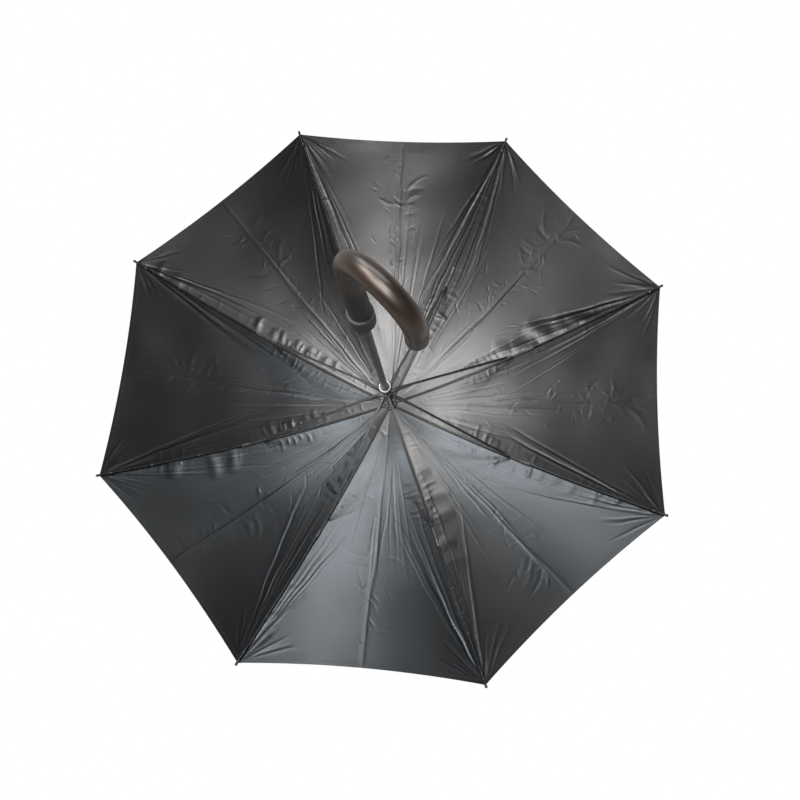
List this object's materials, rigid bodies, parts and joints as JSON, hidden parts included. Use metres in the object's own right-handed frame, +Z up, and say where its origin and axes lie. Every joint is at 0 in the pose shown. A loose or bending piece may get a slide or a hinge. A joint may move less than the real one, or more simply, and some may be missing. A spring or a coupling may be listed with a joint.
{
  "type": "stick umbrella",
  "caption": "Open stick umbrella with a crook handle: fluted ribs, stretchers and struts fold it as its runner slides down the shaft.",
  "frame": {"origin": "on the shaft's axis, in the middle of the straight grip", "axes": "+Z up the shaft towards the ferrule, +X from the shaft towards the end of the crook"},
  "size_m": [1.009, 1.009, 0.8234],
  "materials": {
    "shaft": "satin",
    "frame_steel": "satin",
    "outer_rib": "satin",
    "tip_plastic": "gloss",
    "canopy_cloth": "coated satin",
    "notch_plastic": "matt",
    "runner_plastic": "satin",
    "bright_steel": "satin",
    "ferrule": "satin",
    "grip_plastic": "matt",
    "crook": "satin lacquer"
  },
  "bodies": {
    "root": {"shaft": "shaft", "latch_spring": "bright_steel", "ferrule": "ferrule", "canopy_cap": "notch_plastic", "top_notch": "notch_plastic", "collar": "grip_plastic", "crook_handle": "crook"},
    "rib_1": {"rib_1": "frame_steel", "canopy_sector_1": "canopy_cloth"},
    "outer_rib_1": {"outer_rib_1": "outer_rib", "rib_tip_1": "tip_plastic"},
    "stretcher_1": {"stretcher_1": "frame_steel"},
    "strut_1": {"strut_1": "frame_steel"},
    "rib_2": {"rib_2": "frame_steel", "canopy_sector_2": "canopy_cloth"},
    "outer_rib_2": {"outer_rib_2": "outer_rib", "rib_tip_2": "tip_plastic"},
    "stretcher_2": {"stretcher_2": "frame_steel"},
    "strut_2": {"strut_2": "frame_steel"},
    "rib_3": {"rib_3": "frame_steel", "canopy_sector_3": "canopy_cloth"},
    "outer_rib_3": {"outer_rib_3": "outer_rib", "rib_tip_3": "tip_plastic"},
    "stretcher_3": {"stretcher_3": "frame_steel"},
    "strut_3": {"strut_3": "frame_steel"},
    "rib_4": {"rib_4": "frame_steel", "canopy_sector_4": "canopy_cloth"},
    "outer_rib_4": {"outer_rib_4": "outer_rib", "rib_tip_4": "tip_plastic"},
    "stretcher_4": {"stretcher_4": "frame_steel"},
    "strut_4": {"strut_4": "frame_steel"},
    "rib_5": {"rib_5": "frame_steel", "canopy_sector_5": "canopy_cloth"},
    "outer_rib_5": {"outer_rib_5": "outer_rib", "rib_tip_5": "tip_plastic"},
    "stretcher_5": {"stretcher_5": "frame_steel"},
    "strut_5": {"strut_5": "frame_steel"},
    "rib_6": {"rib_6": "frame_steel", "canopy_sector_6": "canopy_cloth"},
    "outer_rib_6": {"outer_rib_6": "outer_rib", "rib_tip_6": "tip_plastic"},
    "stretcher_6": {"stretcher_6": "frame_steel"},
    "strut_6": {"strut_6": "frame_steel"},
    "rib_7": {"rib_7": "frame_steel", "canopy_sector_7": "canopy_cloth"},
    "outer_rib_7": {"outer_rib_7": "outer_rib", "rib_tip_7": "tip_plastic"},
    "stretcher_7": {"stretcher_7": "frame_steel"},
    "strut_7": {"strut_7": "frame_steel"},
    "rib_8": {"rib_8": "frame_steel", "canopy_sector_8": "canopy_cloth"},
    "outer_rib_8": {"outer_rib_8": "outer_rib", "rib_tip_8": "tip_plastic"},
    "stretcher_8": {"stretcher_8": "frame_steel"},
    "strut_8": {"strut_8": "frame_steel"},
    "runner": {"runner": "runner_plastic", "runner_lip": "bright_steel", "opening_spring": "bright_steel"},
    "spring_ring": {"spring_ring": "runner_plastic"},
    "release_button": {"release_button": "grip_plastic"}
  },
  "joints": [
    {"name": "canopy_fold", "type": "hinge", "parent": "root", "child": "rib_1", "pos_m": [0.00868, 0.00454, 0.62192], "axis": [-0.4633, 0.8862, 0], "range_deg": [0, 70.7], "stiffness_Nm_per_rad": 1.5, "springref_deg": -74.48, "deforming": ["canopy_sector_1"]},
    {"name": "outer_rib_1_flex", "type": "hinge", "parent": "rib_1", "child": "outer_rib_1", "pos_m": [0.2765, 0.14455, 0.54208], "axis": [-0.4633, 0.8862, 0], "range_deg": [-12.37, 0]},
    {"name": "stretcher_1_fold", "type": "hinge", "parent": "rib_1", "child": "stretcher_1", "pos_m": [0.23741, 0.12411, 0.55739], "axis": [-0.4633, 0.8862, 0], "range_deg": [-141.4, 0]},
    {"name": "strut_1_fold", "type": "hinge", "parent": "stretcher_1", "child": "strut_1", "pos_m": [0.04742, 0.02479, 0.50771], "axis": [-0.4633, 0.8862, 0], "range_deg": [0, 141.4]},
    {"name": "rib_2_fold", "type": "hinge", "parent": "root", "child": "rib_2", "pos_m": [0.00293, 0.00935, 0.62192], "axis": [-0.9542, 0.299, 0], "range_deg": [0, 70.7], "deforming": ["canopy_sector_2"]},
    {"name": "outer_rib_2_flex", "type": "hinge", "parent": "rib_2", "child": "outer_rib_2", "pos_m": [0.0933, 0.29772, 0.54208], "axis": [-0.9542, 0.299, 0], "range_deg": [-12.37, 0]},
    {"name": "stretcher_2_fold", "type": "hinge", "parent": "rib_2", "child": "stretcher_2", "pos_m": [0.08011, 0.25563, 0.55739], "axis": [-0.9542, 0.299, 0], "range_deg": [-141.4, 0]},
    {"name": "strut_2_fold", "type": "hinge", "parent": "stretcher_2", "child": "strut_2", "pos_m": [0.016, 0.05106, 0.50771], "axis": [-0.9542, 0.299, 0], "range_deg": [0, 141.4]},
    {"name": "rib_3_fold", "type": "hinge", "parent": "root", "child": "rib_3", "pos_m": [-0.00454, 0.00868, 0.62192], "axis": [-0.8862, -0.4633, 0], "range_deg": [0, 70.7], "deforming": ["canopy_sector_3"]},
    {"name": "outer_rib_3_flex", "type": "hinge", "parent": "rib_3", "child": "outer_rib_3", "pos_m": [-0.14455, 0.2765, 0.54208], "axis": [-0.8862, -0.4633, 0], "range_deg": [-12.37, 0]},
    {"name": "stretcher_3_fold", "type": "hinge", "parent": "rib_3", "child": "stretcher_3", "pos_m": [-0.12411, 0.23741, 0.55739], "axis": [-0.8862, -0.4633, 0], "range_deg": [-141.4, 0]},
    {"name": "strut_3_fold", "type": "hinge", "parent": "stretcher_3", "child": "strut_3", "pos_m": [-0.02479, 0.04742, 0.50771], "axis": [-0.8862, -0.4633, 0], "range_deg": [0, 141.4]},
    {"name": "rib_4_fold", "type": "hinge", "parent": "root", "child": "rib_4", "pos_m": [-0.00935, 0.00293, 0.62192], "axis": [-0.299, -0.9542, 0], "range_deg": [0, 70.7], "deforming": ["canopy_sector_4"]},
    {"name": "outer_rib_4_flex", "type": "hinge", "parent": "rib_4", "child": "outer_rib_4", "pos_m": [-0.29772, 0.0933, 0.54208], "axis": [-0.299, -0.9542, 0], "range_deg": [-12.37, 0]},
    {"name": "stretcher_4_fold", "type": "hinge", "parent": "rib_4", "child": "stretcher_4", "pos_m": [-0.25563, 0.08011, 0.55739], "axis": [-0.299, -0.9542, 0], "range_deg": [-141.4, 0]},
    {"name": "strut_4_fold", "type": "hinge", "parent": "stretcher_4", "child": "strut_4", "pos_m": [-0.05106, 0.016, 0.50771], "axis": [-0.299, -0.9542, 0], "range_deg": [0, 141.4]},
    {"name": "rib_5_fold", "type": "hinge", "parent": "root", "child": "rib_5", "pos_m": [-0.00868, -0.00454, 0.62192], "axis": [0.4633, -0.8862, 0], "range_deg": [0, 70.7], "deforming": ["canopy_sector_5"]},
    {"name": "outer_rib_5_flex", "type": "hinge", "parent": "rib_5", "child": "outer_rib_5", "pos_m": [-0.2765, -0.14455, 0.54208], "axis": [0.4633, -0.8862, 0], "range_deg": [-12.37, 0]},
    {"name": "stretcher_5_fold", "type": "hinge", "parent": "rib_5", "child": "stretcher_5", "pos_m": [-0.23741, -0.12411, 0.55739], "axis": [0.4633, -0.8862, 0], "range_deg": [-141.4, 0]},
    {"name": "strut_5_fold", "type": "hinge", "parent": "stretcher_5", "child": "strut_5", "pos_m": [-0.04742, -0.02479, 0.50771], "axis": [0.4633, -0.8862, 0], "range_deg": [0, 141.4]},
    {"name": "rib_6_fold", "type": "hinge", "parent": "root", "child": "rib_6", "pos_m": [-0.00293, -0.00935, 0.62192], "axis": [0.9542, -0.299, 0], "range_deg": [0, 70.7], "deforming": ["canopy_sector_6"]},
    {"name": "outer_rib_6_flex", "type": "hinge", "parent": "rib_6", "child": "outer_rib_6", "pos_m": [-0.0933, -0.29772, 0.54208], "axis": [0.9542, -0.299, 0], "range_deg": [-12.37, 0]},
    {"name": "stretcher_6_fold", "type": "hinge", "parent": "rib_6", "child": "stretcher_6", "pos_m": [-0.08011, -0.25563, 0.55739], "axis": [0.9542, -0.299, 0], "range_deg": [-141.4, 0]},
    {"name": "strut_6_fold", "type": "hinge", "parent": "stretcher_6", "child": "strut_6", "pos_m": [-0.016, -0.05106, 0.50771], "axis": [0.9542, -0.299, 0], "range_deg": [0, 141.4]},
    {"name": "rib_7_fold", "type": "hinge", "parent": "root", "child": "rib_7", "pos_m": [0.00454, -0.00868, 0.62192], "axis": [0.8862, 0.4633, 0], "range_deg": [0, 70.7], "deforming": ["canopy_sector_7"]},
    {"name": "outer_rib_7_flex", "type": "hinge", "parent": "rib_7", "child": "outer_rib_7", "pos_m": [0.14455, -0.2765, 0.54208], "axis": [0.8862, 0.4633, 0], "range_deg": [-12.37, 0]},
    {"name": "stretcher_7_fold", "type": "hinge", "parent": "rib_7", "child": "stretcher_7", "pos_m": [0.12411, -0.23741, 0.55739], "axis": [0.8862, 0.4633, 0], "range_deg": [-141.4, 0]},
    {"name": "strut_7_fold", "type": "hinge", "parent": "stretcher_7", "child": "strut_7", "pos_m": [0.02479, -0.04742, 0.50771], "axis": [0.8862, 0.4633, 0], "range_deg": [0, 141.4]},
    {"name": "rib_8_fold", "type": "hinge", "parent": "root", "child": "rib_8", "pos_m": [0.00935, -0.00293, 0.62192], "axis": [0.299, 0.9542, 0], "range_deg": [0, 70.7], "deforming": ["canopy_sector_8"]},
    {"name": "outer_rib_8_flex", "type": "hinge", "parent": "rib_8", "child": "outer_rib_8", "pos_m": [0.29772, -0.0933, 0.54208], "axis": [0.299, 0.9542, 0], "range_deg": [-12.37, 0]},
    {"name": "stretcher_8_fold", "type": "hinge", "parent": "rib_8", "child": "stretcher_8", "pos_m": [0.25563, -0.08011, 0.55739], "axis": [0.299, 0.9542, 0], "range_deg": [-141.4, 0]},
    {"name": "strut_8_fold", "type": "hinge", "parent": "stretcher_8", "child": "strut_8", "pos_m": [0.05106, -0.016, 0.50771], "axis": [0.299, 0.9542, 0], "range_deg": [0, 141.4]},
    {"name": "runner_pivot", "type": "hinge", "parent": "stretcher_1", "child": "runner", "pos_m": [0.00868, 0.00454, 0.49287], "axis": [-0.4633, 0.8862, 0], "range_deg": [0, 70.7]},
    {"name": "spring_ring_pivot", "type": "hinge", "parent": "strut_1", "child": "spring_ring", "pos_m": [0.00868, 0.00454, 0.52256], "axis": [-0.4633, 0.8862, 0], "range_deg": [-70.7, 0], "deforming": ["opening_spring"]},
    {"name": "button_press", "type": "slide", "parent": "root", "child": "release_button", "axis": [1, 0, 0], "range_m": [0, 0.0025], "stiffness_N_per_m": 400, "springref_m": -0.002}
  ],
  "couplings": [
    {"joint": "outer_rib_1_flex", "follows": "canopy_fold", "ratio": -0.175},
    {"joint": "stretcher_1_fold", "follows": "canopy_fold", "ratio": -2},
    {"joint": "strut_1_fold", "follows": "canopy_fold", "ratio": 2},
    {"joint": "rib_2_fold", "follows": "canopy_fold", "ratio": 1},
    {"joint": "outer_rib_2_flex", "follows": "canopy_fold", "ratio": -0.175},
    {"joint": "stretcher_2_fold", "follows": "canopy_fold", "ratio": -2},
    {"joint": "strut_2_fold", "follows": "canopy_fold", "ratio": 2},
    {"joint": "rib_3_fold", "follows": "canopy_fold", "ratio": 1},
    {"joint": "outer_rib_3_flex", "follows": "canopy_fold", "ratio": -0.175},
    {"joint": "stretcher_3_fold", "follows": "canopy_fold", "ratio": -2},
    {"joint": "strut_3_fold", "follows": "canopy_fold", "ratio": 2},
    {"joint": "rib_4_fold", "follows": "canopy_fold", "ratio": 1},
    {"joint": "outer_rib_4_flex", "follows": "canopy_fold", "ratio": -0.175},
    {"joint": "stretcher_4_fold", "follows": "canopy_fold", "ratio": -2},
    {"joint": "strut_4_fold", "follows": "canopy_fold", "ratio": 2},
    {"joint": "rib_5_fold", "follows": "canopy_fold", "ratio": 1},
    {"joint": "outer_rib_5_flex", "follows": "canopy_fold", "ratio": -0.175},
    {"joint": "stretcher_5_fold", "follows": "canopy_fold", "ratio": -2},
    {"joint": "strut_5_fold", "follows": "canopy_fold", "ratio": 2},
    {"joint": "rib_6_fold", "follows": "canopy_fold", "ratio": 1},
    {"joint": "outer_rib_6_flex", "follows": "canopy_fold", "ratio": -0.175},
    {"joint": "stretcher_6_fold", "follows": "canopy_fold", "ratio": -2},
    {"joint": "strut_6_fold", "follows": "canopy_fold", "ratio": 2},
    {"joint": "rib_7_fold", "follows": "canopy_fold", "ratio": 1},
    {"joint": "outer_rib_7_flex", "follows": "canopy_fold", "ratio": -0.175},
    {"joint": "stretcher_7_fold", "follows": "canopy_fold", "ratio": -2},
    {"joint": "strut_7_fold", "follows": "canopy_fold", "ratio": 2},
    {"joint": "rib_8_fold", "follows": "canopy_fold", "ratio": 1},
    {"joint": "outer_rib_8_flex", "follows": "canopy_fold", "ratio": -0.175},
    {"joint": "stretcher_8_fold", "follows": "canopy_fold", "ratio": -2},
    {"joint": "strut_8_fold", "follows": "canopy_fold", "ratio": 2},
    {"joint": "runner_pivot", "follows": "canopy_fold", "ratio": 1},
    {"joint": "spring_ring_pivot", "follows": "canopy_fold", "ratio": -1}
  ]
}
